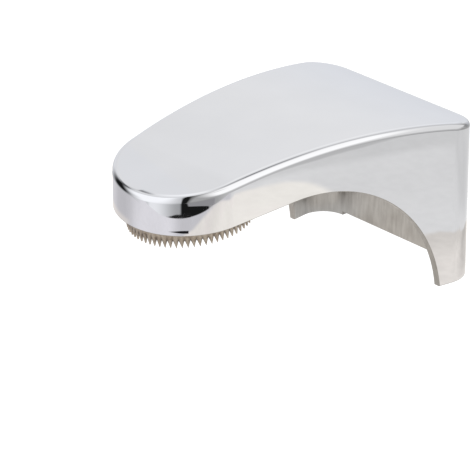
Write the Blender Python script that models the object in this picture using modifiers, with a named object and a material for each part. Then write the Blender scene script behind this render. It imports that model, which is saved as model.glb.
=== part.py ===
"""Magnetic soap holder for a wall: a chrome-plated arched shell on an adhesive pad, with a pot
magnet in its nose and a toothed steel cap that the magnet holds and that pulls straight off.

Metres, +Z up. The wall is the plane y = 0 and the nose points to -Y. The origin is the centre of
the pad's wall side. Distances called "along" run from the shell's back face towards the nose.
"""
from math import asin, atan2, cos, hypot, pi, radians, sin, sqrt, tan

import bmesh
import bpy
from mathutils import Matrix, Vector

# Shell, outside
shell_length = 0.0850
shell_width = 0.0548
shell_wall_height = 0.0389
corner_radius = 0.0080
top_arc_radius = 0.1620
crown_along = 0.0375
top_edge_radius = 0.00135
nose_width = 0.0376
nose_round_length = 0.0167
nose_depth = 0.01018
nose_taper = radians(3.16)
arch_radius = 0.0365
arch_centre_along = 0.0490

# Shell, inside
wall_thickness = 0.0018
skin_thickness = 0.0018
heel_lift = 0.0009
post_radius = 0.0032
pilot_cover = 0.0009

# Adhesive pad and its recess in the back of the shell
pad_width = 0.0360
pad_height = 0.0300
pad_thickness = 0.0012
pad_corner_radius = 0.0030
pad_recess_depth = 0.0005

# Magnet parts in the nose
cover_thickness = 0.0006
pot_radius = 0.0110
pot_height = 0.0042
pot_wall = 0.0014
pot_base = 0.0014
ring_bore_radius = 0.0042
housing_floor = 0.0012
housing_floor_recess = 0.0003
housing_wall = 0.0011
housing_back_reach = 0.0140
screw_radius = 0.00125
screw_head_radius = 0.0025
screw_head_height = 0.0012
screw_socket_width = 0.0015
screw_socket_depth = 0.0006

# Toothed cap
cap_radius = 0.0150
cap_height = 0.0044
cap_sheet = 0.0005
cap_bend_radius = 0.0009
tooth_depth = 0.0020
tooth_count = 68

# Clearances
fit_gap = 0.0003
cut_overrun = 0.0030

# How finely the curves are faceted
corner_steps = 9
nose_steps = 34
flank_steps = 12
arch_steps = 26
edge_steps = 4
round_steps = 48
weld_distance = 0.00001

# Places worked out from the sizes above
back_y = -(pad_thickness + fit_gap - pad_recess_depth)
top_z = shell_wall_height / 2
foot_z = top_z - shell_wall_height
arc_centre_z = top_z - sqrt(top_arc_radius ** 2 - crown_along ** 2)
crown_z = arc_centre_z + top_arc_radius
cap_along = shell_length - nose_round_length
nose_tilt = asin((cap_along - crown_along) / top_arc_radius) - nose_taper
axis_reach = cap_along - crown_along + nose_depth * sin(nose_tilt)
cap_axis_z = arc_centre_z + sqrt(top_arc_radius ** 2 - axis_reach ** 2) - nose_depth * cos(nose_tilt)
tip_z = cap_axis_z - tan(nose_tilt) * nose_round_length
arch_top_along = arch_centre_along + arch_radius * sin(nose_tilt)
arch_top_z = tip_z + tan(nose_tilt) * (shell_length - arch_top_along)
arch_centre_z = arch_top_z - arch_radius * cos(nose_tilt)

holder = bpy.data.collections.new("magnetic_soap_holder")
cutters = bpy.data.collections.new("cutters")


def clear_scene():
    """Remove every object and show the two collections."""
    for old in list(bpy.data.objects):
        bpy.data.objects.remove(old, do_unlink=True)
    for group in (holder, cutters):
        bpy.context.scene.collection.children.link(group)


def material(name, colour, roughness, metallic):
    """A Principled material of one colour."""
    made = bpy.data.materials.new(name)
    made.use_nodes = True
    shader = made.node_tree.nodes["Principled BSDF"]
    shader.inputs["Base Color"].default_value = (*colour, 1.0)
    shader.inputs["Roughness"].default_value = roughness
    shader.inputs["Metallic"].default_value = metallic
    return made


def add(name, mesh, group=cutters, frame=None):
    """Put a mesh in a collection as one object, under a parent empty if one is given."""
    made = bpy.data.objects.new(name, mesh)
    group.objects.link(made)
    made.parent = frame
    if group is cutters:
        made.hide_render = True
        made.display_type = "WIRE"
    return made


def finished(body, name, finish):
    """Move a built body to the holder's collection as a named part with its material."""
    cutters.objects.unlink(body)
    holder.objects.link(body)
    body.name = name
    body.hide_render = False
    body.display_type = "TEXTURED"
    body.data.materials.clear()
    body.data.materials.append(finish)
    body.data.shade_smooth()
    body.data.set_sharp_from_angle(angle=radians(30))
    return body


def frozen(body):
    """Replace a body by the mesh that its modifiers give, with close points welded."""
    bpy.context.view_layer.update()
    depsgraph = bpy.context.evaluated_depsgraph_get()
    mesh = bpy.data.meshes.new_from_object(body.evaluated_get(depsgraph))
    edit = bmesh.new()
    edit.from_mesh(mesh)
    bmesh.ops.remove_doubles(edit, verts=edit.verts, dist=weld_distance)
    bmesh.ops.dissolve_degenerate(edit, edges=edit.edges, dist=weld_distance)
    edit.to_mesh(mesh)
    edit.free()
    made = add(body.name + "_solid", mesh, frame=body.parent)
    made.matrix_world = body.matrix_world.copy()
    bpy.data.objects.remove(body, do_unlink=True)
    return made


def boolean(body, tool, operation):
    """Join, cut or trim a body with another one, and use the tool up."""
    step = body.modifiers.new(operation.lower(), "BOOLEAN")
    step.object = tool
    step.operation = operation
    step.solver = "EXACT"
    made = frozen(body)
    bpy.data.objects.remove(tool, do_unlink=True)
    return made


def extruded(name, outline, half_depth):
    """A flat outline in its own XY plane, drawn as a 2D curve and extruded both ways."""
    curve = bpy.data.curves.new(name, "CURVE")
    curve.dimensions = "2D"
    curve.fill_mode = "BOTH"
    curve.extrude = half_depth
    spline = curve.splines.new("POLY")
    spline.points.add(len(outline) - 1)
    for point, (across, up) in zip(spline.points, outline):
        point.co = (across, up, 0.0, 1.0)
    spline.use_cyclic_u = True
    return frozen(add(name, curve))


def side_prism(name, outline, half_width):
    """A prism across the holder, drawn in side view as (along, z) points."""
    made = extruded(name, [(back_y - along, z) for along, z in outline], half_width)
    made.rotation_euler = (pi / 2, 0.0, pi / 2)
    return made


def turned(name, profile, frame, steps=round_steps):
    """A profile of (radius, z) points turned about its own Z axis by a Screw modifier."""
    mesh = bpy.data.meshes.new(name)
    count = len(profile)
    rings = [(k, (k + 1) % count) for k in range(count)]
    closed = all(radius > 0.0 for radius, _ in profile)
    mesh.from_pydata([(radius, 0.0, z) for radius, z in profile], rings if closed else rings[:-1], [])
    made = add(name, mesh, frame=frame)
    screw = made.modifiers.new("turn", "SCREW")
    screw.axis = "Z"
    screw.angle = 2 * pi
    screw.steps = steps
    screw.render_steps = steps
    screw.use_merge_vertices = True
    screw.merge_threshold = weld_distance
    return frozen(made)


def disc(name, radius, low_z, high_z, frame, steps=round_steps):
    """A plain turned cylinder between two heights."""
    return turned(name, [(0.0, high_z), (radius, high_z), (radius, low_z), (0.0, low_z)], frame, steps)


def block(name, low, high, frame=None):
    """A box between two corners, from a cube primitive with its scale applied."""
    mesh = bpy.data.meshes.new(name)
    edit = bmesh.new()
    bmesh.ops.create_cube(edit, size=1.0)
    size = Vector(high) - Vector(low)
    middle = (Vector(high) + Vector(low)) / 2
    placing = Matrix.Translation(middle) @ Matrix.Diagonal((*size, 1.0))
    bmesh.ops.transform(edit, matrix=placing, verts=edit.verts)
    edit.to_mesh(mesh)
    edit.free()
    return add(name, mesh, frame=frame)


def flank_angle():
    """Angle from +X of the flank's normal: the flank touches the back corner and the nose."""
    half_nose = nose_width / 2
    corner_x = shell_width / 2 - corner_radius

    def miss(angle):
        across, forward = cos(angle), sin(angle)
        reach = hypot(half_nose * across, nose_round_length * forward)
        step_x = half_nose ** 2 * across / reach - corner_x - corner_radius * across
        step_along = cap_along + nose_round_length ** 2 * forward / reach
        step_along -= corner_radius + corner_radius * forward
        return step_x * across + step_along * forward

    low, high = -pi / 4, pi / 3
    for _ in range(40):
        middle = (low + high) / 2
        if miss(middle) * miss(low) > 0:
            low = middle
        else:
            high = middle
    return (low + high) / 2


def plan_outline(inset):
    """The shell's plan outline moved in by inset: back corners, straight flanks, elliptical nose."""
    turn = flank_angle()
    half_nose = nose_width / 2
    corner_x = shell_width / 2 - corner_radius
    half = []
    for k in range(corner_steps + 1):
        angle = -pi / 2 + (turn + pi / 2) * k / corner_steps
        reach = corner_radius - inset
        half.append((corner_x + reach * cos(angle), corner_radius + reach * sin(angle)))
    nose = []
    for k in range(nose_steps // 2 + 1):
        angle = turn + (pi / 2 - turn) * k / (nose_steps // 2)
        across, forward = cos(angle), sin(angle)
        reach = hypot(half_nose * across, nose_round_length * forward)
        x = half_nose ** 2 * across / reach - inset * across
        nose.append((x, cap_along + nose_round_length ** 2 * forward / reach - inset * forward))
    start, end = Vector(half[-1]), Vector(nose[0])
    half += [tuple(start.lerp(end, k / flank_steps)) for k in range(1, flank_steps)]
    half += nose[:-1]
    tip = (0.0, shell_length - inset)
    return half + [tip] + [(-x, along) for x, along in reversed(half)]


def top_height(along, drop):
    """Height of the arched top, lowered by drop, at a distance from the back."""
    return arc_centre_z + sqrt((top_arc_radius - drop) ** 2 - (along - crown_along) ** 2)


def arched_block(name, inset, drop, edge_radius=0.0):
    """A solid on the shell's plan moved in by inset, under the arched top lowered by drop.

    Its side is a loft of the plan outline, and a rounded edge is the rings where that outline
    draws in. The arch is level from side to side, so straight strips across close the top.
    """
    edit = bmesh.new()
    low_z = foot_z - cut_overrun
    rings = [[edit.verts.new((x, back_y - along, low_z)) for x, along in plan_outline(inset)]]
    crest = plan_outline(inset + edge_radius)
    steps = edge_steps if edge_radius > 0.0 else 0
    for k in range(steps + 1):
        angle = pi / 2 * k / max(steps, 1)
        outline = plan_outline(inset + edge_radius * (1 - cos(angle)))
        below_crest = edge_radius * (1 - sin(angle))
        ring = []
        for (x, along), (_, crest_along) in zip(outline, crest):
            z = top_height(crest_along, drop) - below_crest
            ring.append(edit.verts.new((x, back_y - along, z)))
        rings.append(ring)
    count = len(crest)
    for below, above in zip(rings, rings[1:]):
        for k in range(count):
            after = (k + 1) % count
            edit.faces.new((below[k], below[after], above[after], above[k]))
    edit.faces.new(rings[0])
    top, tip = rings[-1], count // 2
    for k in range(tip - 1):
        edit.faces.new((top[k], top[k + 1], top[count - 2 - k], top[count - 1 - k]))
    edit.faces.new((top[tip - 1], top[tip], top[tip + 1]))
    bmesh.ops.recalc_face_normals(edit, faces=edit.faces)
    mesh = bpy.data.meshes.new(name)
    edit.to_mesh(mesh)
    edit.free()
    return add(name, mesh)


def cavity(name, clearance):
    """The hollow under the shell's skin, shrunk by a clearance all round."""
    return arched_block(name, wall_thickness + clearance, skin_thickness + clearance)


def lower_edge():
    """Side view of the lower edge: from the foot's front over the arch to past the tip."""
    rise = max(0.0, min(1.0, (foot_z - arch_centre_z) / arch_radius))
    first = pi - asin(rise)
    last = pi / 2 - nose_tilt
    points = [(arch_centre_along + arch_radius * cos(first), foot_z)]
    for k in range(arch_steps + 1):
        angle = first + (last - first) * k / arch_steps
        along = arch_centre_along + arch_radius * cos(angle)
        points.append((along, arch_centre_z + arch_radius * sin(angle)))
    points.append((shell_length + cut_overrun, tip_z - tan(nose_tilt) * cut_overrun))
    return points if points[1][1] - foot_z > weld_distance else points[:1] + points[2:]


def nose_empty(name):
    """An empty on the cap's axis, in the plane of the nose's underside, with +Z into the nose."""
    empty = bpy.data.objects.new(name, None)
    holder.objects.link(empty)
    empty.location = (0.0, back_y - cap_along, cap_axis_z)
    empty.rotation_euler = (nose_tilt, 0.0, 0.0)
    return empty


def depth_to_arc(radius):
    """Distance along the cap's axis from the nose's underside to an arc about the top's centre."""
    across, up = cap_along - crown_along, cap_axis_z - arc_centre_z
    along_axis = across * sin(nose_tilt) + up * cos(nose_tilt)
    return -along_axis + sqrt(along_axis ** 2 - across ** 2 - up ** 2 + radius ** 2)


def rounded_rectangle(width, height, radius):
    """Outline points of a rectangle with round corners, about its centre."""
    points = []
    for quarter in range(4):
        side_x = 1 if quarter in (0, 3) else -1
        side_y = 1 if quarter in (0, 1) else -1
        for k in range(corner_steps + 1):
            angle = pi / 2 * (quarter + k / corner_steps)
            x = side_x * (width / 2 - radius) + radius * cos(angle)
            points.append((x, side_y * (height / 2 - radius) + radius * sin(angle)))
    return points


def pad_block(name, clearance, front_y, rear_y):
    """The pad's rounded rectangle, standing against the wall between two depths."""
    radius = min(pad_corner_radius, pad_width / 2, pad_height / 2) + clearance
    outline = rounded_rectangle(pad_width + 2 * clearance, pad_height + 2 * clearance, radius)
    made = extruded(name, outline, (rear_y - front_y) / 2)
    made.location.y = (rear_y + front_y) / 2
    made.rotation_euler.x = pi / 2
    return made


def make_shell(frame, finish):
    """The arched shell: one moulding, open below, with the magnet's post inside the nose."""
    body = arched_block("shell_blank", 0.0, 0.0, min(top_edge_radius, nose_depth / 3))
    above = crown_z + cut_overrun
    side = [(-cut_overrun, foot_z)] + lower_edge()
    side += [(shell_length + cut_overrun, above), (-cut_overrun, above)]
    body = boolean(body, side_prism("shell_side", side, shell_width / 2 + cut_overrun), "INTERSECT")
    body = boolean(body, cavity("shell_hollow", 0.0), "DIFFERENCE")
    post_top = (depth_to_arc(top_arc_radius) + depth_to_arc(top_arc_radius - skin_thickness)) / 2
    body = boolean(body, disc("post", post_radius, post_low, post_top, frame), "UNION")
    pilot = disc("pilot", screw_radius + fit_gap, post_low - cut_overrun, pilot_top, frame)
    body = boolean(body, pilot, "DIFFERENCE")
    recess = pad_block("recess", fit_gap, back_y - pad_recess_depth, back_y + cut_overrun)
    body = boolean(body, recess, "DIFFERENCE")
    heel_half = shell_width / 2 - corner_radius
    low = (-heel_half, back_y - wall_thickness - cut_overrun, foot_z - cut_overrun)
    high = (heel_half, back_y + cut_overrun, foot_z + heel_lift)
    body = boolean(body, block("heel", low, high), "DIFFERENCE")
    return finished(body, "shell", finish)


def make_adhesive_pad(finish):
    """The foam pad between the shell's recess and the wall."""
    return finished(pad_block("pad", 0.0, -pad_thickness, 0.0), "adhesive_pad", finish)


def make_magnet_housing(frame, finish):
    """The tray that closes the nose's underside and holds the pot in a round socket."""
    sideways = nose_width / 2 + cut_overrun
    tipward = -(nose_round_length + cut_overrun)
    low_z = housing_floor_recess
    inner_radius = pot_radius + fit_gap
    floor_top = low_z + housing_floor
    body = block("tray", (-sideways, tipward, low_z), (sideways, housing_back_reach, floor_top), frame)
    rear = (-sideways, housing_back_reach - housing_wall, low_z)
    top = (sideways, housing_back_reach, depth_to_arc(top_arc_radius))
    body = boolean(body, block("bulkhead", rear, top, frame), "UNION")
    body = boolean(body, disc("socket", inner_radius + housing_wall, low_z, socket_top, frame), "UNION")
    body = boolean(body, cavity("tray_limit", fit_gap), "INTERSECT")
    pocket = disc("pocket", inner_radius, -cut_overrun, socket_top - housing_wall, frame)
    body = boolean(body, pocket, "DIFFERENCE")
    hole = disc("screw_hole", screw_radius + fit_gap, 0.0, socket_top + cut_overrun, frame)
    return finished(boolean(body, hole, "DIFFERENCE"), "magnet_housing", finish)


def make_pole_cup(frame, finish):
    """The steel cup behind the magnet, open downwards, with a countersunk hole in its base."""
    base_low = pot_top - pot_base
    hole = screw_radius + fit_gap
    profile = [(pot_radius, pot_top), (pot_radius, pot_low), (pot_radius - pot_wall, pot_low),
               (pot_radius - pot_wall, base_low), (screw_head_radius + fit_gap, base_low),
               (hole, base_low + screw_head_height), (hole, pot_top)]
    return finished(turned("pot", profile, frame), "pole_cup", finish)


def make_ring_magnet(frame, finish):
    """The magnet inside the pole cup."""
    outer = pot_radius - pot_wall - fit_gap
    top = pot_top - pot_base - fit_gap
    profile = [(outer, top), (outer, pot_low), (ring_bore_radius, pot_low), (ring_bore_radius, top)]
    return finished(turned("ring", profile, frame), "ring_magnet", finish)


def make_magnet_screw(frame, finish):
    """The countersunk screw through cup and housing into the shell's post."""
    head_low = pot_top - pot_base
    end = pilot_top - fit_gap
    head_top = head_low + screw_head_height
    profile = [(0.0, end), (screw_radius / 2, end), (screw_radius, end - screw_radius),
               (screw_radius, head_top), (screw_head_radius, head_low), (0.0, head_low)]
    body = turned("screw", profile, frame)
    socket_end = head_low + screw_socket_depth
    socket = disc("hex", screw_socket_width / 2, head_low - cut_overrun, socket_end, frame, 6)
    return finished(boolean(body, socket, "DIFFERENCE"), "magnet_screw", finish)


def make_magnet_cover(frame, finish):
    """The thin disc that seals the magnet's face and that the cap rests against."""
    return finished(disc("cover", pot_radius, 0.0, cover_thickness, frame), "magnet_cover", finish)


def bend_point(wall_radius, flat_z, bend, angle):
    """A profile point on the bend between a cup's wall, at angle 0, and its flat top."""
    return wall_radius - bend * (1 - cos(angle)), flat_z - bend * (1 - sin(angle))


def make_toothed_cap(frame, finish):
    """The pressed steel cap: a shallow cup, open downwards, with a rim of pointed teeth."""
    top = -fit_gap
    inner = cap_radius - cap_sheet
    inner_bend = max(cap_bend_radius - cap_sheet, cap_sheet / 2)
    angles = [pi / 2 * k / edge_steps for k in range(edge_steps + 1)]
    outside = [bend_point(cap_radius, top, cap_bend_radius, angle) for angle in reversed(angles)]
    inside = [bend_point(inner, top - cap_sheet, inner_bend, angle) for angle in angles]
    rim = [(cap_radius, top - cap_height), (inner, top - cap_height)]
    profile = [(0.0, top)] + outside + rim + inside + [(0.0, top - cap_sheet)]
    body = turned("cap", profile, frame, 2 * tooth_count)
    half_pitch = pi / tooth_count
    for vertex in body.data.vertices:
        slot = round(atan2(vertex.co.y, vertex.co.x) / half_pitch)
        if slot % 2 and vertex.co.z < top - cap_height + weld_distance:
            vertex.co.z += tooth_depth
    return finished(body, "toothed_cap", finish)


# Heights above the nose's underside, along the cap's axis
pot_low = cover_thickness + fit_gap
pot_top = pot_low + pot_height
socket_top = pot_top + fit_gap + housing_wall
post_low = socket_top + fit_gap
pilot_top = depth_to_arc(top_arc_radius) - pilot_cover

clear_scene()
magnet_axis = nose_empty("magnet_axis")
make_shell(magnet_axis, material("chrome_plating", (0.82, 0.83, 0.85), 0.06, 1.0))
make_adhesive_pad(material("foam_tape", (0.72, 0.72, 0.70), 0.85, 0.0))
make_magnet_housing(magnet_axis, material("grey_moulding", (0.45, 0.46, 0.47), 0.45, 0.0))
make_pole_cup(magnet_axis, material("zinc_plated_steel", (0.62, 0.62, 0.60), 0.35, 1.0))
make_ring_magnet(magnet_axis, material("nickel_plating", (0.66, 0.65, 0.62), 0.22, 1.0))
make_magnet_screw(magnet_axis, material("screw_steel", (0.55, 0.55, 0.54), 0.30, 1.0))
make_magnet_cover(magnet_axis, material("seal_disc", (0.80, 0.81, 0.82), 0.30, 0.0))
make_toothed_cap(nose_empty("cap_axis"), material("bare_steel", (0.62, 0.58, 0.53), 0.42, 1.0))
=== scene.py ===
from math import asin, atan2, cos, degrees, hypot, pi, radians, sin, sqrt, tan

import bmesh
import bpy
from mathutils import Matrix, Vector


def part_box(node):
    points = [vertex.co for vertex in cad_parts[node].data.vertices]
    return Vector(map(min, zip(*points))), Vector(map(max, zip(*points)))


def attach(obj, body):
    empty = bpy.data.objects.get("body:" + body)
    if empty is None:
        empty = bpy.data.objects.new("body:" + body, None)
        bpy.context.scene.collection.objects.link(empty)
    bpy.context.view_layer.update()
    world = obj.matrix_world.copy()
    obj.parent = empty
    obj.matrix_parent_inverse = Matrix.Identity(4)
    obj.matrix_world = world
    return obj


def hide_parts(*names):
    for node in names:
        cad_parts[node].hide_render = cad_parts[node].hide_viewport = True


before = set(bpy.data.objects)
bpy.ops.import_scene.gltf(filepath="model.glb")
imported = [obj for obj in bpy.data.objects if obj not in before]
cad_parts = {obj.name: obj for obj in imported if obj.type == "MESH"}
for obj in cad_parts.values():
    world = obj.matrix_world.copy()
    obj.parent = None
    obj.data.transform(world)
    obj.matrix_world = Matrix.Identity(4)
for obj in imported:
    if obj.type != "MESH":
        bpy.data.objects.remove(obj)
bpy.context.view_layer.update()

shell_low, shell_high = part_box("shell")
pad_low, pad_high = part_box("adhesive_pad")

# Shell, outside, in metres; what the frame's box gives is read from it
shell_length = shell_high.y - shell_low.y
shell_width = shell_high.x - shell_low.x
shell_wall_height = 0.0389
corner_radius = 0.0080
top_arc_radius = 0.1620
crown_along = 0.0375
top_edge_radius = 0.00135
nose_width = 0.0376
nose_round_length = 0.0167
nose_depth = 0.01018
nose_taper = radians(3.16)
arch_radius = 0.0365
arch_centre_along = 0.0490

# Shell, inside
wall_thickness = 0.0018
skin_thickness = 0.0018
ceiling_fillet = 0.0005
heel_lift = 0.0009
rim_round = 0.00018
crease_reach = 0.00022
post_radius = 0.0032
pilot_radius = 0.00155
post_low = 0.0068
pilot_top = 0.00928

# Recess for the pad
pad_corner_radius = 0.0030
pad_round = 0.00028
recess_depth = 0.0005
recess_gap = 0.0003

# Toothed cap
cap_radius = 0.0150
cap_height = 0.0044
cap_sheet = 0.0005
cap_bend_radius = 0.0009
cap_gap = 0.0003
tooth_depth = 0.0020
tooth_count = 68
flute_depth = 0.00016
# Its finer shape: rings on its flat faces, plain wall above the teeth, their bevelled edge and hollow
# side, and the painted shade in flutes and gaps
face_ring_shares = (0.02, 0.35, 0.7)
neck_share = 0.15
tooth_edge_share = 0.25
tooth_hollow = 1.15
flute_shade = 0.6
gap_shade_power = 1.5

# The painted dark reflection and the painted highlight along the crest, as (place, row of the section
# from the crest outwards, share): round the nose by degrees from the tip (more is towards +X), and along
# the +X flank in metres from the wall
nose_painted_dark_reflection = [(-80, 0.0, 0.04), (-20, 3.5, 0.05), (-12, 3.5, 0.45), (-4, 1.8, 0.3), (1, 0.5, 0.22),
                  (3.5, -1.2, 0.9), (8, -1.2, 0.8), (12, -0.9, 0.5), (17, -0.5, 0.05), (60, 0.0, 0.0),
                  (66, -0.2, 0.2), (72, 0.0, 0.4), (82, 0.3, 0.7)]
nose_painted_highlight = [(12, -1.5, 0.0), (20, -1.5, 0.4), (28, -1.5, 0.75), (46, -1.5, 0.9), (56, -1.6, 0.7),
                    (62, -2.0, 0.2), (82, -3.0, 0.4)]
flank_painted_dark_reflection = [(0.000, 1.8, 0.30), (0.015, 1.2, 0.38), (0.030, 1.6, 0.32), (0.045, 1.5, 0.40),
                   (0.054, 1.5, 0.80), (0.062, 1.2, 0.95), (0.066, 0.9, 0.95), (0.069, 0.5, 0.75)]
flank_painted_highlight = [(0.000, -3.0, 0.3), (0.069, -3.2, 0.5)]
# How many rows a painted line fades over, how dark the painted shade on the rim is, and where the
# flank's painted lines begin on the back corner, in radians from +X
line_reach = 2.2
rim_shade = 0.36
corner_line_start = -0.3

# How finely the meshes follow the curves
corner_steps = 22
nose_steps = 60
arch_steps = 44
straight_steps = 8
edge_steps = 12
wall_rows = 5
top_rows = 5
round_steps = 4
columns_a_tooth = 8
post_steps = 64
weld_distance = 0.000001
normal_weight = 80
crease_angle = radians(35)
cap_crease_angle = radians(40)

# Rows of the wall's section at which the flat wall and the rim start
wall_start = top_rows + edge_steps
rim_start = wall_start + wall_rows

# Places worked out from the sizes above
back_y = shell_high.y
foot_z = shell_low.z
top_z = foot_z + shell_wall_height
arc_centre_z = top_z - sqrt(top_arc_radius ** 2 - crown_along ** 2)
cap_along = shell_length - nose_round_length
nose_tilt = asin((cap_along - crown_along) / top_arc_radius) - nose_taper
axis_reach = cap_along - crown_along + nose_depth * sin(nose_tilt)
cap_axis_z = arc_centre_z + sqrt(top_arc_radius ** 2 - axis_reach ** 2) - nose_depth * cos(nose_tilt)
tip_z = cap_axis_z - tan(nose_tilt) * nose_round_length
arch_top_along = arch_centre_along + arch_radius * sin(nose_tilt)
arch_top_z = tip_z + tan(nose_tilt) * (shell_length - arch_top_along)
arch_centre_z = arch_top_z - arch_radius * cos(nose_tilt)
nose_frame = Matrix.Translation((0.0, back_y - cap_along, cap_axis_z)) @ Matrix.Rotation(nose_tilt, 4, "X")

# Camera, from the photograph's perspective
camera_place = Vector((0.52762, -0.51174, 0.31248))
camera_back = Vector((0.68904, -0.59633, 0.41184)).normalized()
camera_lens = 249.665
sensor_width = 36.0
camera_clip = (0.05, 20.0)

# Stage, in metres: floor, backdrop, grey flag over the back, and card just under the holder
floor_z = -0.12
floor_half = 6.0
floor_grey = 0.5
floor_glow = 0.62
backdrop_level = 1.05
flag_place = (0.085, 0.070, 0.066)
flag_half = 0.08
flag_glow = 1.12
card_gap = 0.00105
card_z = foot_z - card_gap
card_half = 0.25

# The flag's soft edges, in millimetres from its middle
flag_fade_x = (-78.0, -52.0)
flag_fade_y = (-72.0, -44.0)

# What the card shows, in millimetres, with the wall at y 0: circles as (centre, radius) and ovals as
# (centre, halves)
nose_middle = (0.0, -70.0)
card_front = ((-1.5, -50.0), 110.7)
card_back = ((27.0, -7.0), 98.0)
dim_start = ((14.0, -80.4), 85.4)
dim_end = ((0.0, -62.0), 130.0)
warm_front = ((30.0, -61.0), 76.7)
warm_corner = (93.0, -20.0)
warm_corner_round = 8.0
dark_ring = (nose_middle, 79.6)
tip_patch = (nose_middle, 78.0)
foot_patch = ((20.0, -5.0), (38.0, 32.0))
wall_shade_spot = ((25.0, 15.0), (13.0, 20.0))
card_dim_level = 0.42
card_dark_level = 0.02

# Bowed edges in the sky, as (degrees over at the peak, bend, how far aside there)
bar_left_edge = (38.0, 0.000028, 0.475)
bar_middle_line = (48.0, 0.000024, 0.41)
bar_right_edge = (50.0, 0.000017, 0.343)
room_edge = (100.0, 0.000076, 0.165)

# Levels of light in the sky
bar_shadow_level = 0.22
corner_level = 0.76
upright_level = 0.42
low_band_level = 0.50
zenith_level = 1.08
dark_level = 0.015

# Tints of the card, as red, green and blue: before the nose, warm part, its uneven share, patch under
# the foot, and left of the tip
nose_tint = (1.00, 0.985, 1.03)
warm_tint = (1.035, 0.99, 0.94)
lean_tint = (0.0, 1.0, 0.0)
foot_tint = (1.05, 1.0, 0.945)
tip_tint = (1.0, 0.95, 0.92)

# Units
millimetres = 1000.0
to_degrees = 180.0 / pi


# Shader node helpers

class Field:
    """A number worked out by shader nodes, joined with ordinary arithmetic signs."""

    def __init__(self, tree, socket):
        self.tree = tree
        self.socket = socket

    def math(self, operation, *others):
        """One Math node over this number and others."""
        node = self.tree.nodes.new("ShaderNodeMath")
        node.operation = operation
        for into, given in zip(node.inputs, (self, *others)):
            if isinstance(given, Field):
                self.tree.links.new(given.socket, into)
            else:
                into.default_value = given
        return Field(self.tree, node.outputs[0])

    def __add__(self, other):
        return self.math("ADD", other)

    def __sub__(self, other):
        return self.math("SUBTRACT", other)

    def __mul__(self, other):
        return self.math("MULTIPLY", other)

    def __pow__(self, other):
        return self.math("POWER", other)

    def __abs__(self):
        return self.math("ABSOLUTE")

    def inverse(self):
        """What this number lacks to 1."""
        return self * -1.0 + 1.0

    def largest(self, *others):
        """The largest of this number and others."""
        made = self
        for other in others:
            made = made.math("MAXIMUM", other)
        return made

    def step(self, low, high, at_low=0.0, at_high=1.0):
        """A smooth step of this number between two others."""
        node = self.tree.nodes.new("ShaderNodeMapRange")
        node.interpolation_type = "SMOOTHSTEP"
        self.tree.links.new(self.socket, node.inputs["Value"])
        node.inputs["From Min"].default_value = low
        node.inputs["From Max"].default_value = high
        node.inputs["To Min"].default_value = at_low
        node.inputs["To Max"].default_value = at_high
        return Field(self.tree, node.outputs["Result"])

    def fall(self, low, high):
        """A smooth step of this number from 1 down to 0."""
        return self.step(low, high, 1.0, 0.0)

    def toward(self, other, share):
        """This number moved towards another by a share from 0 to 1."""
        node = self.tree.nodes.new("ShaderNodeMix")
        for into, given in zip((node.inputs[0], node.inputs[2], node.inputs[3]), (share, self, other)):
            if isinstance(given, Field):
                self.tree.links.new(given.socket, into)
            else:
                into.default_value = given
        return Field(self.tree, node.outputs[0])


def coordinates(tree, output="Object"):
    """Texture coordinates and their three parts as numbers."""
    source = tree.nodes.new("ShaderNodeTexCoord").outputs[output]
    split = tree.nodes.new("ShaderNodeSeparateXYZ")
    tree.links.new(source, split.inputs[0])
    return source, [Field(tree, part) for part in split.outputs]


def tinted(tree, amount, colours):
    """A colour ramp over a number, from (place, colour) stops."""
    ramp = tree.nodes.new("ShaderNodeValToRGB")
    tree.links.new(amount.socket, ramp.inputs[0])
    stops = ramp.color_ramp.elements
    while len(stops) < len(colours):
        stops.new(1.0)
    for stop, (place, colour) in zip(stops, colours):
        stop.position = place
        stop.color = (*colour, 1.0)
    return ramp.outputs[0]


def toned(tree, colour, attribute, other):
    """A colour moved towards another by a point attribute from 0 to 1."""
    amount = tree.nodes.new("ShaderNodeAttribute")
    amount.attribute_name = attribute
    mix = tree.nodes.new("ShaderNodeMix")
    mix.data_type = "RGBA"
    mix.inputs[7].default_value = (*other, 1.0)
    tree.links.new(amount.outputs["Fac"], mix.inputs[0])
    tree.links.new(colour, mix.inputs[6])
    return mix.outputs[2]


def noise(tree, source, scale, detail, stretch=(1.0, 1.0, 1.0)):
    """Procedural noise in the object's own metres."""
    mapping = tree.nodes.new("ShaderNodeMapping")
    mapping.inputs["Scale"].default_value = stretch
    tree.links.new(source, mapping.inputs[0])
    texture = tree.nodes.new("ShaderNodeTexNoise")
    texture.inputs["Scale"].default_value = scale
    texture.inputs["Detail"].default_value = detail
    tree.links.new(mapping.outputs[0], texture.inputs["Vector"])
    return Field(tree, texture.outputs[0])


def material(name, roughness, metallic):
    """A Principled material, with its tree, its shader and its object coordinates."""
    made = bpy.data.materials.new(name)
    made.use_nodes = True
    tree = made.node_tree
    shader = tree.nodes["Principled BSDF"]
    shader.inputs["Roughness"].default_value = roughness
    shader.inputs["Metallic"].default_value = metallic
    source, _ = coordinates(tree)
    return made, tree, shader, source


def bump(tree, shader, height, distance, strength):
    """Raise the surface by a number, by a share of a distance in metres."""
    node = tree.nodes.new("ShaderNodeBump")
    node.inputs["Strength"].default_value = strength
    node.inputs["Distance"].default_value = distance
    tree.links.new(height.socket, node.inputs["Height"])
    tree.links.new(node.outputs[0], shader.inputs["Normal"])


# Materials

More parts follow.
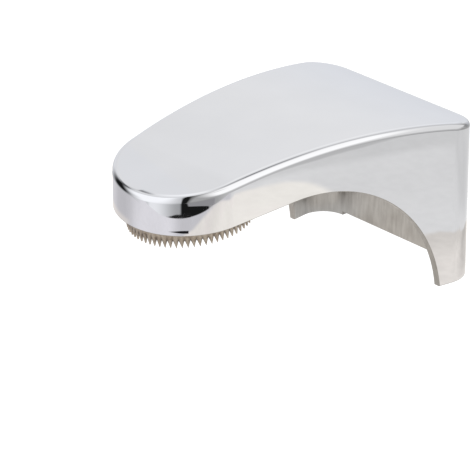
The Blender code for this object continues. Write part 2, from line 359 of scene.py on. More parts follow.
def mirror_chrome():
    """Bright plating: a clear mirror with the faintest waves, a haze of fine wiping marks, and a painted dark
    reflection and a painted highlight along the crest.
    """
    made, tree, shader, source = material("mirror_chrome", 0.03, 1.0)
    cloud = noise(tree, source, 90.0, 2.0)
    colours = [(0.3, (0.612, 0.613, 0.624)), (0.7, (0.626, 0.627, 0.638))]
    plain = tinted(tree, cloud, colours)
    darker = toned(tree, plain, "painted_shade_and_reflection", (0.03, 0.03, 0.04))
    tree.links.new(toned(tree, darker, "painted_highlight", (0.86, 0.86, 0.87)), shader.inputs["Base Color"])
    haze = noise(tree, source, 260.0, 4.0, (1.0, 0.25, 1.0)).step(0.35, 0.75, 0.008, 0.030)
    tree.links.new(haze.socket, shader.inputs["Roughness"])
    bump(tree, shader, noise(tree, source, 120.0, 1.0), 0.00002, 0.25)
    return made


def dull_plating():
    """The unpolished inside of the moulding under the same plating: cloudy, brushed and darker, with painted
    shade on the rim's underside.
    """
    made, tree, shader, source = material("dull_plating", 0.42, 1.0)
    cloud = noise(tree, source, 260.0, 5.0)
    grain = noise(tree, source, 1100.0, 4.0, (1.0, 1.0, 0.15))
    mixed = cloud * 0.5 + grain * 0.5
    colours = [(0.32, (0.285, 0.275, 0.262)), (0.52, (0.385, 0.374, 0.358)), (0.72, (0.485, 0.474, 0.458))]
    plain = tinted(tree, mixed, colours)
    tree.links.new(toned(tree, plain, "painted_shade_and_reflection", (0.13, 0.125, 0.115)), shader.inputs["Base Color"])
    tree.links.new(cloud.step(0.3, 0.7, 0.34, 0.52).socket, shader.inputs["Roughness"])
    bump(tree, shader, mixed, 0.00012, 0.6)
    return made


def bare_steel():
    """Galvanised sheet: warm grey, with painted shade in the flutes and between the teeth, and fine rolling
    marks.
    """
    made, tree, shader, source = material("bare_steel", 0.38, 1.0)
    cloud = noise(tree, source, 420.0, 5.0)
    grain = noise(tree, source, 1800.0, 2.0)
    mixed = cloud * 0.6 + grain * 0.4
    colours = [(0.30, (0.15, 0.12, 0.095)), (0.50, (0.33, 0.288, 0.24)), (0.72, (0.50, 0.455, 0.395))]
    plain = tinted(tree, mixed, colours)
    tree.links.new(toned(tree, plain, "painted_shade_and_reflection", (0.045, 0.033, 0.026)), shader.inputs["Base Color"])
    tree.links.new(cloud.step(0.3, 0.7, 0.30, 0.50).socket, shader.inputs["Roughness"])
    bump(tree, shader, mixed, 0.00006, 0.6)
    return made


def plain_metal(name, dark, light, roughness, grain_scale):
    """A plated or bare metal part with fine grain."""
    made, tree, shader, source = material(name, roughness, 1.0)
    grain = noise(tree, source, grain_scale, 4.0)
    tree.links.new(tinted(tree, grain, [(0.3, dark), (0.7, light)]), shader.inputs["Base Color"])
    uneven = grain.step(0.3, 0.7, roughness * 0.8, roughness * 1.3)
    tree.links.new(uneven.socket, shader.inputs["Roughness"])
    bump(tree, shader, grain, 0.00003, 0.5)
    return made


def moulded_plastic(name, dark, light, roughness):
    """Moulded plastic with a fine spark-eroded texture."""
    made, tree, shader, source = material(name, roughness, 0.0)
    cloud = noise(tree, source, 160.0, 3.0)
    grain = noise(tree, source, 3200.0, 2.0)
    tree.links.new(tinted(tree, cloud, [(0.3, dark), (0.7, light)]), shader.inputs["Base Color"])
    uneven = cloud.step(0.3, 0.7, roughness * 0.85, roughness * 1.15)
    tree.links.new(uneven.socket, shader.inputs["Roughness"])
    bump(tree, shader, grain, 0.00004, 0.6)
    return made


def foam():
    """Closed-cell foam tape: off-white, matte, with fine cells."""
    made, tree, shader, source = material("foam_tape", 0.9, 0.0)
    cells = tree.nodes.new("ShaderNodeTexVoronoi")
    cells.inputs["Scale"].default_value = 3200.0
    tree.links.new(source, cells.inputs["Vector"])
    depth = Field(tree, cells.outputs["Distance"])
    cloud = noise(tree, source, 300.0, 4.0)
    mixed = depth * 0.5 + cloud * 0.5
    colours = [(0.25, (0.46, 0.46, 0.445)), (0.6, (0.60, 0.60, 0.585))]
    tree.links.new(tinted(tree, mixed, colours), shader.inputs["Base Color"])
    bump(tree, shader, depth, 0.00012, 0.8)
    return made


# The shell's fine surface

def flank_angle():
    """Angle from +X of the flank's normal: the flank touches the back corner and the nose."""
    half_nose = nose_width / 2
    corner_x = shell_width / 2 - corner_radius

    def miss(angle):
        """How far apart the corner's and the nose's tangents lie at an angle."""
        across, forward = cos(angle), sin(angle)
        reach = hypot(half_nose * across, nose_round_length * forward)
        step_x = half_nose ** 2 * across / reach - corner_x - corner_radius * across
        step_along = cap_along + nose_round_length ** 2 * forward / reach
        step_along -= corner_radius + corner_radius * forward
        return step_x * across + step_along * forward

    low, high = -pi / 4, pi / 3
    halvings = 40
    for _ in range(halvings):
        middle = (low + high) / 2
        if miss(middle) * miss(low) > 0:
            low = middle
        else:
            high = middle
    return (low + high) / 2


flank_turn = flank_angle()


def between(stops, place):
    """The (row, share) read between (place, row, share) stops, held beyond the first and the last."""
    for (low, *at_low), (high, *at_high) in zip(stops, stops[1:]):
        if place < high:
            share = max(0.0, (place - low) / (high - low))
            return [a + (b - a) * share for a, b in zip(at_low, at_high)]
    return list(stops[-1][1:])


def low_height(along):
    """Height of the lower edge in side view: foot, arch, then the nose's straight underside."""
    reach = along - arch_centre_along
    if along < arch_centre_along and abs(reach) >= arch_radius:
        return foot_z
    if along < arch_top_along:
        return max(foot_z, arch_centre_z + sqrt(arch_radius ** 2 - reach ** 2))
    return tip_z + tan(nose_tilt) * (shell_length - along)


def top_height(along, drop=0.0):
    """Height of the arched top, lowered by drop."""
    return arc_centre_z + sqrt((top_arc_radius - drop) ** 2 - (along - crown_along) ** 2)


class Column:
    """One upright section of the wall, at a place round the plan outline on the +X side.

    Its kind is corner, flank or nose. Its value is metres from the wall on the flank, and otherwise the
    angle of its normal from +X towards the nose. Low is the height of its lower edge, where that isn't
    read from the side view, and lift the step (along, up) from that edge into the wall.
    """

    def __init__(self, kind, value, low=None, lift=(0.0, 0.0)):
        self.kind = kind
        self.value = value
        self.low = low
        self.lift = lift

    def crest_lines(self, side):
        """The painted dark reflection's and the painted highlight's (row, share) at the crest here; side is 1
        at +X, -1 at -X.
        """
        if self.kind == "nose":
            turn = side * degrees(pi / 2 - self.value)
            return between(nose_painted_dark_reflection, turn), between(nose_painted_highlight, turn)
        if side < 0 or self.kind == "corner" and self.value < corner_line_start:
            return (0.0, 0.0), (0.0, 0.0)
        along = self.value if self.kind == "flank" else 0.0
        return between(flank_painted_dark_reflection, along), between(flank_painted_highlight, along)

    def plan(self, inset, shift=0.0):
        """(x, along) of the outline moved in by inset, here; on the flank, moved along by shift too."""
        if self.kind == "corner":
            reach = corner_radius - inset
            x = shell_width / 2 - corner_radius + reach * cos(self.value)
            return x, corner_radius + reach * sin(self.value)
        if self.kind == "flank":
            along = self.value + shift
            x = shell_width / 2 - corner_radius + corner_radius * cos(flank_turn)
            x -= (along - corner_radius - corner_radius * sin(flank_turn)) * tan(flank_turn)
            return x - inset / cos(flank_turn), along
        across, forward = cos(self.value), sin(self.value)
        reach = hypot(nose_width / 2 * across, nose_round_length * forward)
        x = (nose_width / 2) ** 2 * across / reach - inset * across
        return x, cap_along + nose_round_length ** 2 * forward / reach - inset * forward

    def rim_point(self, inset, lift_share):
        """A point near the lower edge, lifted off it into the wall by a share of the rim's rounding."""
        x, along = self.plan(inset, self.lift[0] * lift_share)
        if self.low is not None:
            return x, along, self.low + self.lift[1] * lift_share
        return x, along, low_height(along) + rim_round * lift_share

    def section(self):
        """The wall's section, from the crest of the top's edge down, under the rim and up inside."""
        points = []
        for k in range(top_rows, 0, -1):
            x, along = self.plan(top_edge_radius + crease_reach * k)
            points.append((x, along, top_height(along)))
        _, crest_along = self.plan(top_edge_radius)
        crest = top_height(crest_along)
        for k in range(edge_steps + 1):
            angle = pi / 2 * (1 - k / edge_steps)
            x, along = self.plan(top_edge_radius * (1 - cos(angle)))
            points.append((x, along, crest - top_edge_radius * (1 - sin(angle))))
        outside = self.rim_point(0.0, 1.0)
        start = points[-1]
        for k in range(1, wall_rows):
            share = k / wall_rows
            points.append(tuple(a + (b - a) * share for a, b in zip(start, outside)))
        for k in range(round_steps + 1):
            angle = pi / 2 * k / round_steps
            points.append(self.rim_point(rim_round * (1 - cos(angle)), 1 - sin(angle)))
        for k in range(round_steps + 1):
            angle = pi / 2 * (1 - k / round_steps)
            points.append(self.rim_point(wall_thickness - rim_round * (1 - cos(angle)), 1 - sin(angle)))
        inner_edge = wall_thickness + ceiling_fillet
        _, ceiling_along = self.plan(inner_edge)
        ceiling = top_height(ceiling_along, skin_thickness)
        start = points[-1]
        wall_x, wall_along = self.plan(wall_thickness)
        end = (wall_x, wall_along, ceiling - ceiling_fillet)
        for k in range(1, wall_rows):
            share = k / wall_rows
            points.append(tuple(a + (b - a) * share for a, b in zip(start, end)))
        for k in range(round_steps + 1):
            angle = pi / 2 * k / round_steps
            x, along = self.plan(wall_thickness + ceiling_fillet * (1 - cos(angle)))
            points.append((x, along, ceiling - ceiling_fillet * (1 - sin(angle))))
        return [Vector((x, back_y - along, z)) for x, along, z in points]


def arch_columns():
    """Columns of the flank over the arch, each at a point of the lower edge's side view."""
    first = pi - asin((foot_z - arch_centre_z) / arch_radius)
    last = pi / 2 - nose_tilt
    made = []
    for k in range(arch_steps + 1):
        angle = first + (last - first) * k / arch_steps
        along = arch_centre_along + arch_radius * cos(angle)
        z = arch_centre_z + arch_radius * sin(angle)
        lift = (rim_round * cos(angle), rim_round * sin(angle)) if k else (-rim_round, rim_round)
        made.append(Column("flank", along, z, lift))
    return made


def half_columns():
    """Columns from the middle of the back, round the +X side, to the tip."""
    made = []
    for k in range(corner_steps + 1):
        angle = -pi / 2 + (flank_turn + pi / 2) * k / corner_steps
        made.append(Column("corner", angle, foot_z, (0.0, rim_round)))
    arch = arch_columns()
    flank_start = corner_radius + corner_radius * sin(flank_turn)
    across, forward = cos(flank_turn), sin(flank_turn)
    reach = hypot(nose_width / 2 * across, nose_round_length * forward)
    flank_end = cap_along + nose_round_length ** 2 * forward / reach
    for k in range(1, straight_steps):
        along = flank_start + (arch[0].value - flank_start) * k / straight_steps
        made.append(Column("flank", along, foot_z, (0.0, rim_round)))
    made += arch
    for k in range(1, straight_steps):
        made.append(Column("flank", arch_top_along + (flank_end - arch_top_along) * k / straight_steps))
    for k in range(nose_steps + 1):
        made.append(Column("nose", flank_turn + (pi / 2 - flank_turn) * k / nose_steps))
    return made


def rounded_rectangle(width, height, radius):
    """Outline points of a rectangle with round corners, about its centre."""
    points = []
    for quarter in range(4):
        side_x = 1 if quarter in (0, 3) else -1
        side_z = 1 if quarter in (0, 1) else -1
        for k in range(corner_steps + 1):
            angle = pi / 2 * (quarter + k / corner_steps)
            x = side_x * (width / 2 - radius) + radius * cos(angle)
            points.append((x, side_z * (height / 2 - radius) + radius * sin(angle)))
    return points


def finished(edit, name, finishes, crease=crease_angle):
    """Turn a bmesh into a shaded object with its materials and face-weighted normals."""
    bmesh.ops.remove_doubles(edit, verts=edit.verts, dist=weld_distance)
    bmesh.ops.dissolve_degenerate(edit, edges=edit.edges, dist=weld_distance)
    bmesh.ops.recalc_face_normals(edit, faces=edit.faces)
    mesh = bpy.data.meshes.new(name)
    edit.to_mesh(mesh)
    edit.free()
    for finish in finishes:
        mesh.materials.append(finish)
    mesh.shade_smooth()
    mesh.set_sharp_from_angle(angle=crease)
    made = bpy.data.objects.new(name, mesh)
    bpy.context.scene.collection.objects.link(made)
    weigh = made.modifiers.new("face_weight", "WEIGHTED_NORMAL")
    weigh.keep_sharp = True
    weigh.weight = normal_weight
    return made


def nose_ring(edit, ring):
    """Vertices evenly round the nose's axis, one for each (radius, z)."""
    made = []
    for k, (radius, z) in enumerate(ring):
        angle = 2 * pi * k / len(ring)
        made.append(edit.verts.new(nose_frame @ Vector((radius * cos(angle), radius * sin(angle), z))))
    return made


def skin(edit, rings, slot=0):
    """Faces from each ring of vertices to the next, and over the first and the last ring."""
    for below, above in zip(rings, rings[1:]):
        for k in range(len(below)):
            after = (k + 1) % len(below)
            edit.faces.new((below[k], below[after], above[after], above[k])).material_index = slot
    for ring in (rings[0], rings[-1]):
        edit.faces.new(ring).material_index = slot


def make_shell(chrome, dull):
    """The chrome shell as one fine closed skin, with the pad's recess in its back."""
    edit = bmesh.new()
    heel = Column("corner", -pi / 2, foot_z + heel_lift, (0.0, rim_round))
    columns = [heel] + half_columns()
    right = [column.section() for column in columns]
    left = [[Vector((-p.x, p.y, p.z)) for p in section] for section in right[:-1]]
    sections = right + left[::-1]
    painted_shade_and_reflection = edit.verts.layers.float.new("painted_shade_and_reflection")
    painted_highlight = edit.verts.layers.float.new("painted_highlight")
    verts = [[edit.verts.new(point) for point in section] for section in sections]
    count, rows = len(verts), len(verts[0])
    # Painted dark reflection and painted highlight along the crest, as point attributes fading over a few
    # rows
    lines = [column.crest_lines(1) for column in columns]
    lines += [column.crest_lines(-1) for column in columns[-2::-1]]
    for column, pair in zip(verts, lines):
        for layer, (centre, share) in zip((painted_shade_and_reflection, painted_highlight), pair):
            for k in range(wall_start):
                column[k][layer] = share * max(0.0, 1 - abs(k - top_rows - centre) / line_reach)
        # Painted shade on the rim
        for k in range(rim_start + 1, rim_start + 2 * round_steps + 1):
            column[k][painted_shade_and_reflection] = rim_shade
    # The wall between the two heels, which is the back, is left to add_back
    for j in range(count):
        a, b = verts[j], verts[(j + 1) % count]
        for k in range(rows - 1):
            if j == count - 1 and wall_start <= k < rim_start:
                continue
            face = edit.faces.new((a[k], b[k], b[k + 1], a[k + 1]))
            face.material_index = 1 if k >= rim_start else 0
    # The top and the ceiling, in strips across from one side to the other
    middle = (count - 1) // 2
    for row, slot in ((0, 0), (rows - 1, 1)):
        for j in range(middle - 1):
            a, b = verts[j][row], verts[j + 1][row]
            c, d = verts[count - 2 - j][row], verts[count - 1 - j][row]
            edit.faces.new((a, b, c, d)).material_index = slot
        tip = (verts[middle - 1][row], verts[middle][row], verts[middle + 1][row])
        edit.faces.new(tip).material_index = slot
    add_back(edit, verts[0], verts[-1])
    add_post(edit)
    return finished(edit, "chrome_shell", (chrome, dull))


def add_back(edit, right, left):
    """The back face between the two corners, with the pad's recess sunk in it."""
    rows = range(wall_start, rim_start + 1)
    outer = [right[k] for k in rows] + [left[k] for k in reversed(rows)]
    size_x = pad_high.x - pad_low.x + 2 * recess_gap
    size_z = pad_high.z - pad_low.z + 2 * recess_gap
    outline = rounded_rectangle(size_x, size_z, pad_corner_radius + recess_gap)
    centre_z = (pad_high.z + pad_low.z) / 2
    inner = [edit.verts.new((x, back_y, centre_z + z)) for x, z in outline]
    floor = [edit.verts.new((x, back_y - recess_depth, centre_z + z)) for x, z in outline]
    edges = []
    for loop in (outer, inner):
        for k, vert in enumerate(loop):
            after = loop[(k + 1) % len(loop)]
            edges.append(edit.edges.get((vert, after)) or edit.edges.new((vert, after)))
    bmesh.ops.triangle_fill(edit, edges=edges, use_beauty=True, normal=(0.0, 1.0, 0.0))
    for k in range(len(inner)):
        after = (k + 1) % len(inner)
        edit.faces.new((inner[k], inner[after], floor[after], floor[k])).material_index = 1
    edit.faces.new(floor).material_index = 1


def add_post(edit):
    """The screw's post under the nose's skin, with its pilot hole."""
    top = top_height(cap_along, skin_thickness / 2) - cap_axis_z
    outside = [(post_radius, top), (post_radius, post_low)]
    profile = outside + [(pilot_radius, post_low), (pilot_radius, pilot_top)]
    skin(edit, [nose_ring(edit, [point] * post_steps) for point in profile], 1)


def make_cap(finish):
    """The pressed cap: a shallow cup with a rim of sharp, slightly hollow teeth."""
    edit = bmesh.new()
    steps = tooth_count * columns_a_tooth
    inner = cap_radius - cap_sheet
    inner_bend = max(cap_bend_radius - cap_sheet, cap_sheet / 2)
    top = -cap_gap
    rim_z = top - cap_height
    bends = [pi / 2 * k / round_steps for k in range(round_steps + 1)]

    def bend(wall, flat, radius, angle):
        """A point of the bend between the cap's wall and its flat face."""
        return wall - radius * (1 - cos(angle)), flat - radius * (1 - sin(angle))

    outside = [(cap_radius * share, top) for share in face_ring_shares]
    outside += [bend(cap_radius, top, cap_bend_radius, angle) for angle in reversed(bends)]
    inside = [bend(inner, top - cap_sheet, inner_bend, angle) for angle in bends]
    inside += [(inner * share, top - cap_sheet) for share in reversed(face_ring_shares)]
    shoulder = rim_z + tooth_depth
    neck = shoulder + tooth_depth * neck_share
    edge = cap_sheet * tooth_edge_share

    def gap(k):
        """1 in the gap between two teeth, 0 at a tooth's point."""
        return 1 - abs(2 * (k % columns_a_tooth) / columns_a_tooth - 1)

    def toothed(k, share):
        """Height of the tooth's edge at a column, the share down from the shoulder."""
        return shoulder - tooth_depth * (1 - gap(k)) ** tooth_hollow * share

    def fluted(radius, k, share):
        """A radius drawn in behind each gap, by a share of the flutes' depth."""
        return radius - flute_depth * share * (0.5 - 0.5 * cos(pi * gap(k)))

    def shaded(k, share):
        """How dark the painted shade in the flutes above the teeth is."""
        return flute_shade * share * gap(k) ** 2

    # The plain wall as (share of the flutes' depth, height), then the teeth as (radius, share of their depth)
    upper = [(0.5, (outside[-1][1] + neck) / 2), (1.0, neck)]
    lower = [(cap_radius, 0.55), (cap_radius, 0.97), (cap_radius - edge, 1.0),
             (inner + edge, 1.0), (inner, 0.97), (inner, 0.55)]
    # Each ring has (radius, height, painted shade) for every column, from the top's middle round to its
    # underside
    rings = [[(radius, z, 0.0)] * steps for radius, z in outside]
    for share, z in upper:
        rings.append([(fluted(cap_radius, k, share), z, shaded(k, share)) for k in range(steps)])
    # The teeth, with painted shade darkest in the gaps between them
    for radius, share in lower:
        shades = [gap(k) ** gap_shade_power for k in range(steps)]
        rings.append([(fluted(radius, k, 1.0), toothed(k, share), shades[k]) for k in range(steps)])
    for share, z in reversed(upper):
        rings.append([(fluted(inner, k, share), z, shaded(k, share)) for k in range(steps)])
    rings += [[(radius, z, 0.0)] * steps for radius, z in inside]
    # The painted shade as a point attribute, which the cap's material reads
    line = edit.verts.layers.float.new("painted_shade_and_reflection")
    verts = [nose_ring(edit, [(radius, z) for radius, z, _ in ring]) for ring in rings]
    for row, ring in zip(verts, rings):
        for vert, (_, _, shade) in zip(row, ring):
            vert[line] = shade
    skin(edit, verts)
    return finished(edit, "toothed_steel_cap", (finish,), cap_crease_angle)


def make_pad(finish):
    """The foam pad, with its cut edges slightly rounded."""
    edit = bmesh.new()
    width, height = pad_high.x - pad_low.x, pad_high.z - pad_low.z
    centre_z = (pad_high.z + pad_low.z) / 2
    rings = []
    for side in (0, 1):
        for k in range(round_steps + 1):
            angle = pi / 2 * (k / round_steps if side == 0 else 1 - k / round_steps)
            inset = pad_round * (1 - sin(angle))
            in_depth = pad_round * (1 - cos(angle))
            y = pad_low.y + in_depth if side == 0 else pad_high.y - in_depth
            size = (width - 2 * inset, height - 2 * inset)
            outline = rounded_rectangle(*size, pad_corner_radius - inset)
            rings.append([edit.verts.new((x, y, centre_z + z)) for x, z in outline])
    skin(edit, rings)
    return finished(edit, "foam_pad", (finish,))


# Stage and light; places on the card are in millimetres, places in the sky in degrees, and a step's last
# two numbers are the levels of light or the shares that it runs between

def stage_sheet(name, half, place):
    """A flat square of the stage, with the emptied node tree of its own material."""
    mesh = bpy.data.meshes.new(name)
    edit = bmesh.new()
    bmesh.ops.create_grid(edit, x_segments=1, y_segments=1, size=half)
    edit.to_mesh(mesh)
    edit.free()
    sheet = bpy.data.objects.new(name, mesh)
    sheet.location = place
    bpy.context.scene.collection.objects.link(sheet)
    made = bpy.data.materials.new(name)
    made.use_nodes = True
    made.node_tree.nodes.clear()
    mesh.materials.append(made)
    return sheet, made.node_tree


def mixed_output(tree, kind, share, first, second):
    """The tree's output, of the kind given: one shader moved towards another by a share."""
    mix = tree.nodes.new("ShaderNodeMixShader")
    tree.links.new(share, mix.inputs[0])
    tree.links.new(first.outputs[0], mix.inputs[1])
    tree.links.new(second.outputs[0], mix.inputs[2])
    tree.links.new(mix.outputs[0], tree.nodes.new(kind).inputs[0])


def seen_by_gloss_only(sheet):
    """Keep a sheet of the stage from all rays but glossy ones."""
    sheet.visible_camera = False
    sheet.visible_diffuse = False
    sheet.visible_shadow = False
    sheet.visible_transmission = False


def make_floor():
    """A wide white floor that glows a little, so that it stays pale, and is seen from above only."""
    floor, tree = stage_sheet("floor", floor_half, (0.0, 0.0, floor_z))
    paper = tree.nodes.new("ShaderNodeBsdfDiffuse")
    paper.inputs["Color"].default_value = (floor_grey, floor_grey, floor_grey, 1.0)
    glow = tree.nodes.new("ShaderNodeEmission")
    glow.inputs["Strength"].default_value = floor_glow
    both = tree.nodes.new("ShaderNodeAddShader")
    tree.links.new(paper.outputs[0], both.inputs[0])
    tree.links.new(glow.outputs[0], both.inputs[1])
    clear = tree.nodes.new("ShaderNodeBsdfTransparent")
    from_below = tree.nodes.new("ShaderNodeNewGeometry").outputs["Backfacing"]
    mixed_output(tree, "ShaderNodeOutputMaterial", from_below, both, clear)
    floor.visible_glossy = False
    floor.visible_shadow = False


def make_flag():
    """A grey flag over the holder's back, which tones down the light on the edge near the wall."""
    flag, tree = stage_sheet("grey_flag", flag_half, flag_place)
    _, (x, y, _) = coordinates(tree)
    glow = tree.nodes.new("ShaderNodeEmission")
    glow.inputs["Strength"].default_value = flag_glow
    clear = tree.nodes.new("ShaderNodeBsdfTransparent")
    soft = (y * millimetres).step(*flag_fade_y) * (x * millimetres).step(*flag_fade_x)
    mixed_output(tree, "ShaderNodeOutputMaterial", soft.socket, clear, glow)
    seen_by_gloss_only(flag)


def oval(x, y, centre, half):
    """1 on the rim of an oval in millimetres, less inside and more outside."""
    along_x = (x - centre[0]) * (1.0 / half[0])
    along_y = (y - centre[1]) * (1.0 / half[1])
    return (along_x * along_x + along_y * along_y) ** 0.5


def circle(x, y, centre, radius):
    """How far outside a circle a place is, in millimetres."""
    return ((x - centre[0]) ** 2.0 + (y - centre[1]) ** 2.0) ** 0.5 - radius


class CardPlace:
    """A place on the card: millimetres, degrees round the nose from its tip, beside the flank, clouds."""

    def __init__(self, tree):
        source, (x, y, _) = coordinates(tree)
        self.x = x * millimetres
        self.y = y * millimetres
        self.front = self.x.math("ARCTAN2", (self.y - nose_middle[1]) * -1.0) * to_degrees
        self.flank = self.y.step(-54.0, -40.0)
        self.fine = noise(tree, source, 320.0, 5.0).step(0.3, 0.7, 0.982, 1.018)
        self.broad = noise(tree, source, 26.0, 4.0).step(0.3, 0.7, 0.97, 1.03)
        self.cloud = noise(tree, source, 45.0, 4.0).step(0.3, 0.7, 0.965, 1.035) * self.fine
        self.ragged = noise(tree, source, 60.0, 4.0).step(0.3, 0.7, -0.05, 0.05)
        self.lean = noise(tree, source, 30.0, 3.0).step(0.35, 0.65, -0.012, 0.012)


def card_parts(x, y):
    """Shares of the bright part near the holder, a dim part farther out and a strip before the front."""
    # The bright part ends in a circle before the nose, a straight stretch left of it and a slant beside
    front_edge = circle(x, y, *card_front)
    straight = x.fall(-5.0, -3.0) * x.step(-60.0, -45.0) * y.step(-161.7, -160.9)
    beside = (x - (y * 0.16 + 112.8)).fall(-0.5, 1.5) * y.step(-50.0, -47.0)
    near = front_edge.fall(-0.4, 0.4).largest(straight, beside, y.step(40.0, 50.0))
    dim = circle(x, y, *dim_start).step(-0.4, 0.4) * x.step(62.0, 68.0) * y.fall(-96.0, -92.0)
    dim = dim * circle(x, y, *dim_end).fall(-1.0, 1.0)
    strip = (front_edge - x.step(12.0, 40.0, 0.0, 2.4)).fall(-0.4, 0.4)
    strip = strip * x.step(12.0, 24.0) * x.fall(60.0, 64.0) * y.fall(-140.0, -136.0)
    return near, dim, strip


def card_tone(place):
    """Tone under the nose, by the angle round it, beside the flank, by the distance, and behind."""
    under_nose = place.front.step(-60.0, -24.0, 0.77, 1.10).toward(0.87, place.front.step(12.0, 32.0))
    under_nose = under_nose.toward(0.82, place.front.fall(-84.0, -76.0))
    beside = place.x.step(103.0, 109.0, 1.06, 0.94)
    behind = circle(place.x, place.y, *card_back).step(0.0, 3.0, 0.93, 0.52)
    tone = under_nose.toward(beside, place.flank).toward(behind, place.y.step(22.0, 44.0))
    return tone * place.broad * place.fine


def warm_share(place):
    """Share of the warm part: inside a circle before the nose, inside a round corner beside the flank."""
    by_nose = circle(place.x, place.y, *warm_front)
    past_x = (place.x - warm_corner[0]).largest(0.0)
    past_y = (place.y - warm_corner[1]).largest(0.0)
    by_flank = circle(past_x, past_y, (0.0, 0.0), warm_corner_round)
    return by_nose.toward(by_flank, place.y.step(-85.0, -38.0)).fall(-2.0, 2.0)


def ring_share(place):
    """Share of a thin dark piece of a ring before the nose, which widens away from the tip."""
    off_ring = abs(circle(place.x, place.y, *dark_ring) - place.front * 0.1)
    inside = (off_ring - place.front.step(12.0, 34.0, 0.2, 1.45)).fall(-0.3, 0.3)
    return inside * place.front.step(10.0, 18.0) * place.front.fall(39.0, 40.0)


def make_table_card():
    """A soft reflector lying just under the holder, painted with the light and the dark shapes that the
    chrome reflects from below: only the chrome sees it.
    """
    card, tree = stage_sheet("bounce_card", card_half, (0.0, 0.0, card_z))
    place = CardPlace(tree)
    near, dim, strip = card_parts(place.x, place.y)
    tone = card_tone(place).toward(card_dim_level, dim * near.inverse())
    warm = warm_share(place)
    warm_level = place.y.step(-95.0, -62.0, 1.15, 1.26) * place.cloud
    # Patch under the foot, with a ragged edge and a spot of painted shade by the wall
    foot = oval(place.x, place.y, *foot_patch) + place.ragged
    wall_shade = oval(place.x, place.y, *wall_shade_spot).step(0.4, 1.2, 0.25, 0.0)
    foot_level = foot.step(0.55, 1.0, 1.09, 0.94) * place.cloud * place.fine * wall_shade.inverse()
    under_foot = foot.fall(0.95, 1.05)
    by_tip = circle(place.x, place.y, *tip_patch).fall(-3.0, 2.0) * place.x.fall(-62.0, -50.0)
    dark = ring_share(place).largest(strip.step(0.0, 0.1) * near.fall(0.4, 0.9))
    joined = tree.nodes.new("ShaderNodeCombineColor")
    for channel, socket in enumerate(joined.inputs):
        level = tone * place.flank.step(0.0, 1.0, nose_tint[channel], 1.0)
        level = level.toward(tip_tint[channel], by_tip)
        warmed = warm_level * (place.lean * lean_tint[channel] + warm_tint[channel])
        level = level.toward(warmed, warm).toward(foot_level * foot_tint[channel], under_foot)
        tree.links.new(level.toward(card_dark_level, dark).socket, socket)
    glow = tree.nodes.new("ShaderNodeEmission")
    tree.links.new(joined.outputs[0], glow.inputs["Color"])
    clear = tree.nodes.new("ShaderNodeBsdfTransparent")
    shown = near.largest(dim, strip)
    mixed_output(tree, "ShaderNodeOutputMaterial", shown.socket, clear, glow)
    seen_by_gloss_only(card)


def bowed(over, peak, bend, furthest):
    """How far aside a bowed edge runs: furthest at its peak, less before and after it."""
    return (over - peak) ** 2.0 * -bend + furthest


class Sky:
    """A direction from the holder, by the numbers that place the studio's lights.

    Ahead and aside are its level parts towards the camera's side and to the left of the photograph. Turn
    is in degrees round to the left from the camera's side, rise in degrees up, and over in degrees up
    from the camera's side, across the zenith and down behind the holder.
    """

    def __init__(self, tree):
        _, (x, y, z) = coordinates(tree, "Generated")
        facing = atan2(camera_back.x, camera_back.y)
        self.ahead = x * sin(facing) + y * cos(facing)
        self.aside = x * cos(facing) - y * sin(facing)
        self.turn = self.aside.math("ARCTAN2", self.ahead) * to_degrees
        self.rise = z.math("ARCSINE") * to_degrees
        self.high = self.rise.largest(0.0)
        self.over = (z.math("ARCTAN2", self.ahead) * to_degrees).largest(-40.0)
        self.bar_left = bowed(self.over, *bar_left_edge)
        self.bar_middle = bowed(self.over, *bar_middle_line)
        self.bar_right = bowed(self.over, *bar_right_edge)
        self.on_left = (self.aside - self.bar_middle).step(-0.01, 0.01)


def right_light(sky):
    """Light on the right, its soft edge against the dim room in front, and the shadow beside the bar."""
    light = sky.rise.step(-2.0, 30.0, 0.74, 1.58).toward(1.55, sky.rise.step(44.0, 60.0))
    edge = bowed(sky.over.largest(5.0), *room_edge)
    sharpness = sky.over.step(50.0, 115.0, 1.0, 1.9)
    room = ((sky.aside - edge) * sharpness).step(-0.24, 0.24) * sky.ahead.step(-0.72, -0.56)
    light = light.toward(sky.rise.step(-24.0, 10.0, 0.42, 0.57), room)
    beside_bar = (sky.aside - sky.bar_right).step(-0.10, 0.0) * sky.ahead.step(-0.60, -0.30)
    return light.toward(bar_shadow_level, beside_bar * 0.8)


def left_light(sky):
    """Light on the left of the bar, brighter away from it, falling off towards the doorway."""
    reach = (sky.over * -0.0034 + 0.47).largest(0.05)
    from_bar = (sky.aside - sky.bar_left).math("DIVIDE", reach).step(-0.10, 1.10)
    brighter = sky.rise.step(-40.0, 0.0, 1.29, 1.52)
    light = sky.rise.step(-40.0, 22.0, 0.54, 0.86).toward(brighter, from_bar)
    fall_off = (sky.turn - (sky.high * sky.high * 0.0225 + 88.0)).step(-13.0, 13.0)
    return light.toward(sky.rise.step(0.0, 30.0, 0.74, 0.90), fall_off)


def with_corner(level, sky):
    """The level with the dimmer corner beside the wall on the right, its dark upright and a low band."""
    shade = sky.turn.fall(-104.0, -78.0) * sky.turn.step(-162.0, -150.0) * sky.rise.fall(30.0, 40.0)
    upright = sky.turn.fall(-122.0, -108.0) * (sky.turn + 139.0 + sky.high * 0.3).step(-4.0, 4.0)
    upright = upright * sky.rise.fall(22.0, 30.0)
    band = abs(sky.rise + 8.0).fall(8.0, 15.0) * sky.turn.fall(-98.0, -88.0)
    band = band * sky.turn.step(-152.0, -138.0) * upright.fall(0.0, 1.0)
    level = level.toward(corner_level, shade).toward(upright_level, upright)
    return level.toward(low_band_level, band)


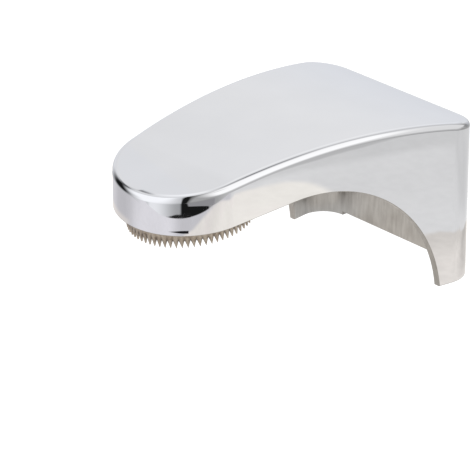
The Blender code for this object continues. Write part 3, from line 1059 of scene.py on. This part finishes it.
def with_low_light(level, sky):
    """The level with the low light left of the bar, which is seen past the bounce card."""
    low = sky.turn.step(20.0, 27.0, 0.03, 0.55).toward(1.25, sky.turn.step(26.0, 64.0))
    low = low.toward(0.95, sky.turn.step(69.0, 74.0))
    lowest = sky.rise.fall(-23.0, -19.0) * sky.turn.step(20.0, 24.0) * sky.turn.fall(90.0, 100.0)
    return level.toward(low, lowest)


def dark_share(sky):
    """Share of the dark things: the bar overhead with its foot, the doorway and its lintel."""
    # The bar runs from its foot at the right of the camera to behind the holder
    bar = (sky.aside - sky.bar_right).step(-0.025, 0.025) * (sky.bar_left - sky.aside).step(-0.02, 0.02)
    bar = bar * sky.ahead.step(-0.74, -0.38)
    bar_foot = sky.turn.step(-20.0, -18.0) * sky.turn.fall(22.0, 25.0) * sky.rise.fall(-21.8, -21.0)
    # The doorway leans over and has soft sides; its lintel runs on behind the holder
    door = (sky.turn - (sky.high * sky.high * 0.021 + 100.0)).step(-9.0, 9.0)
    door = door * (sky.turn - (sky.high * sky.high * 0.0055 + 134.5)).fall(-10.0, 12.0)
    door = door * sky.rise.step(-22.0, 2.0) * sky.rise.fall(40.5, 44.0)
    lintel = sky.turn.step(134.0, 140.0) * sky.turn.fall(151.0, 158.0)
    lintel = lintel * sky.rise.step(37.0, 40.0) * sky.rise.step(41.5, 44.0, 0.8, 0.0)
    return bar.largest(bar_foot, door, lintel)


def make_studio():
    """The studio round the holder: a pale wall behind, large soft lights and the dark gaps between."""
    world = bpy.data.worlds.new("studio")
    bpy.context.scene.world = world
    world.use_nodes = True
    tree = world.node_tree
    tree.nodes.clear()
    sky = Sky(tree)
    wall = sky.rise.step(-25.0, 12.0, 0.52, 1.05).toward(1.13, sky.rise.step(8.0, 22.0))
    wall_share = abs(sky.turn).step(118.0, 150.0) * (sky.rise + sky.on_left * 6.0).fall(48.0, 55.0)
    level = right_light(sky).toward(left_light(sky), sky.on_left).toward(wall, wall_share)
    level = with_corner(level, sky)
    level = level.toward(zenith_level, sky.rise.step(79.0, 88.0))
    level = with_low_light(level, sky).toward(dark_level, dark_share(sky))
    # The wall and the light on the left are a little cool
    cool = (wall_share * sky.rise.step(0.0, 24.0, 1.0, 0.25)).largest(sky.on_left * 0.5)
    colours = [(0.0, (1.0, 1.0, 1.0)), (1.0, (0.965, 0.990, 1.045))]
    studio = tree.nodes.new("ShaderNodeBackground")
    tree.links.new(tinted(tree, cool, colours), studio.inputs["Color"])
    tree.links.new(level.socket, studio.inputs["Strength"])
    # The camera itself sees plain white beyond the floor
    plain = tree.nodes.new("ShaderNodeBackground")
    plain.inputs["Color"].default_value = (1.0, 1.0, 1.0, 1.0)
    plain.inputs["Strength"].default_value = backdrop_level
    seen = tree.nodes.new("ShaderNodeLightPath").outputs["Is Camera Ray"]
    mixed_output(tree, "ShaderNodeOutputWorld", seen, studio, plain)
    bpy.context.scene.view_settings.view_transform = "Standard"


def make_camera():
    """The camera at the photograph's place and angle."""
    data = bpy.data.cameras.new("camera")
    data.lens = camera_lens
    data.sensor_width = sensor_width
    data.clip_start, data.clip_end = camera_clip
    camera = bpy.data.objects.new("camera", data)
    camera.location = camera_place
    camera.rotation_mode = "QUATERNION"
    camera.rotation_quaternion = (-camera_back).to_track_quat("-Z", "Y")
    bpy.context.scene.collection.objects.link(camera)
    bpy.context.scene.camera = camera


make_camera()

shell = make_shell(mirror_chrome(), dull_plating())
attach(shell, "holder")
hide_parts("shell")

cap = make_cap(bare_steel())
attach(cap, "cap")
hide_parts("toothed_cap")

pad = make_pad(foam())
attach(pad, "holder")
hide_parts("adhesive_pad")

finishes = {
    "magnet_housing": moulded_plastic("grey_moulding", (0.36, 0.365, 0.37), (0.42, 0.425, 0.43), 0.45),
    "magnet_cover": moulded_plastic("seal_disc", (0.72, 0.73, 0.74), (0.78, 0.79, 0.80), 0.28),
    "pole_cup": plain_metal("zinc_plated_steel", (0.50, 0.50, 0.48), (0.64, 0.64, 0.62), 0.35, 500.0),
    "ring_magnet": plain_metal("nickel_plating", (0.58, 0.57, 0.54), (0.68, 0.67, 0.64), 0.22, 300.0),
    "magnet_screw": plain_metal("screw_steel", (0.46, 0.46, 0.45), (0.58, 0.58, 0.57), 0.30, 900.0),
}
for node, finish in finishes.items():
    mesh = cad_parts[node].data
    mesh.materials.clear()
    mesh.materials.append(finish)

make_floor()
make_table_card()
make_flag()
make_studio()
